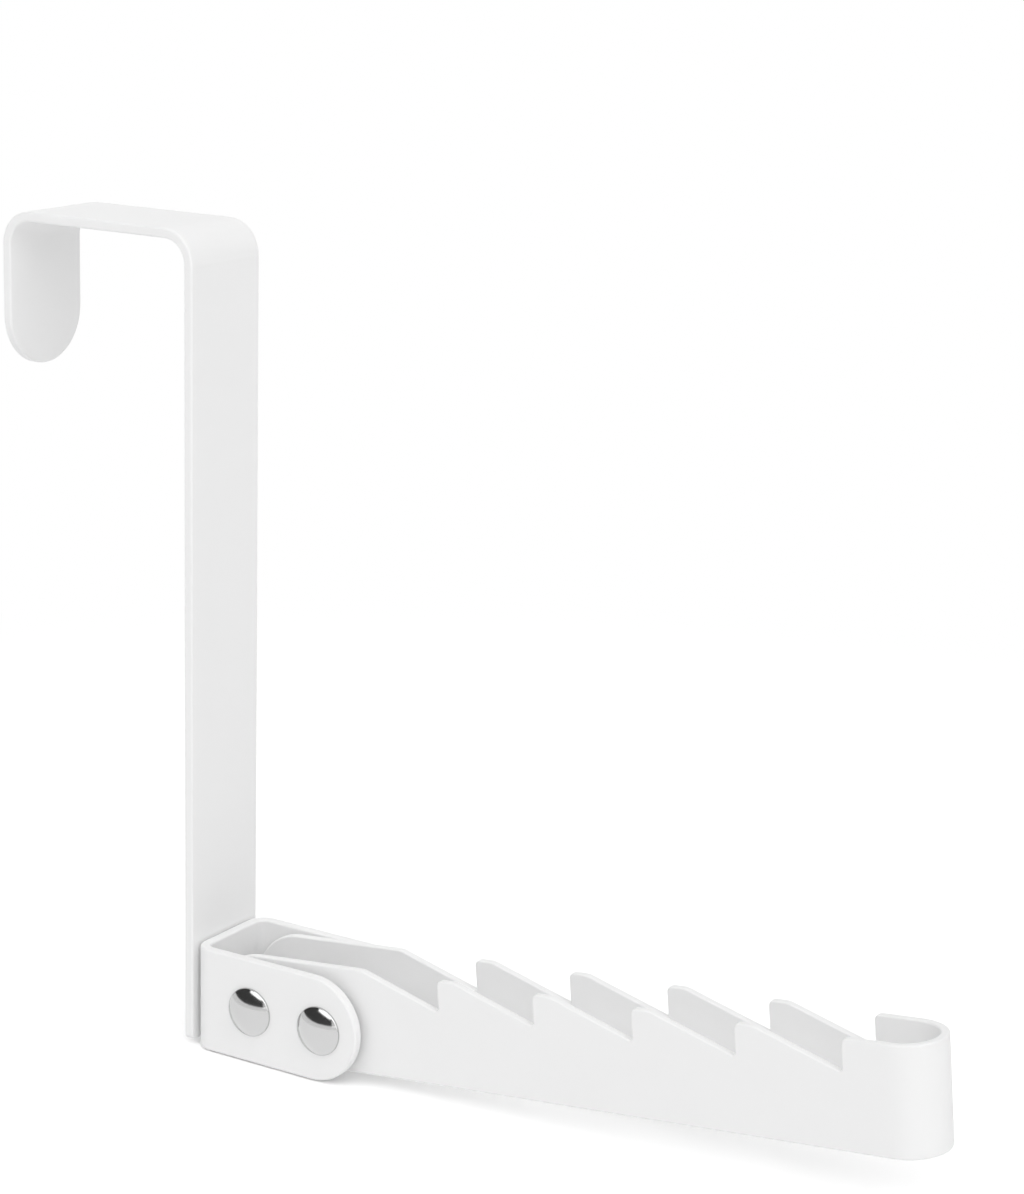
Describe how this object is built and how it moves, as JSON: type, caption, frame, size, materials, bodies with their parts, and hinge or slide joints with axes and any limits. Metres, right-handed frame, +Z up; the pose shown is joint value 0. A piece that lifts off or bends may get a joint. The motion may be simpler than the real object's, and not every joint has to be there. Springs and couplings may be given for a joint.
{
  "type": "over door hook",
  "caption": "Over-door strap hook with a hinged, notched arm that holds clothes hangers and folds up flat against the door.",
  "frame": {"origin": "centre of the underside of the strap's top, where it sits on the door's top edge", "axes": "+X away from the door along the arm, +Z up, the part is even about the XZ plane"},
  "size_m": [0.2457, 0.0314, 0.1951],
  "materials": {
    "powder_coat": "white powder coat, satin",
    "rivet_steel": "bright polished"
  },
  "bodies": {
    "hanger": {"over_door_strap": "powder_coat", "pivot_bracket": "powder_coat", "pivot_rivet": "rivet_steel", "stop_rivet": "rivet_steel"},
    "arm": {"folding_arm": "powder_coat"}
  },
  "joints": [
    {"name": "arm_fold", "type": "hinge", "parent": "hanger", "child": "arm", "pos_m": [0.0452, 0, -0.1799], "axis": [0, -1, 0], "range_deg": [0, 84]}
  ]
}
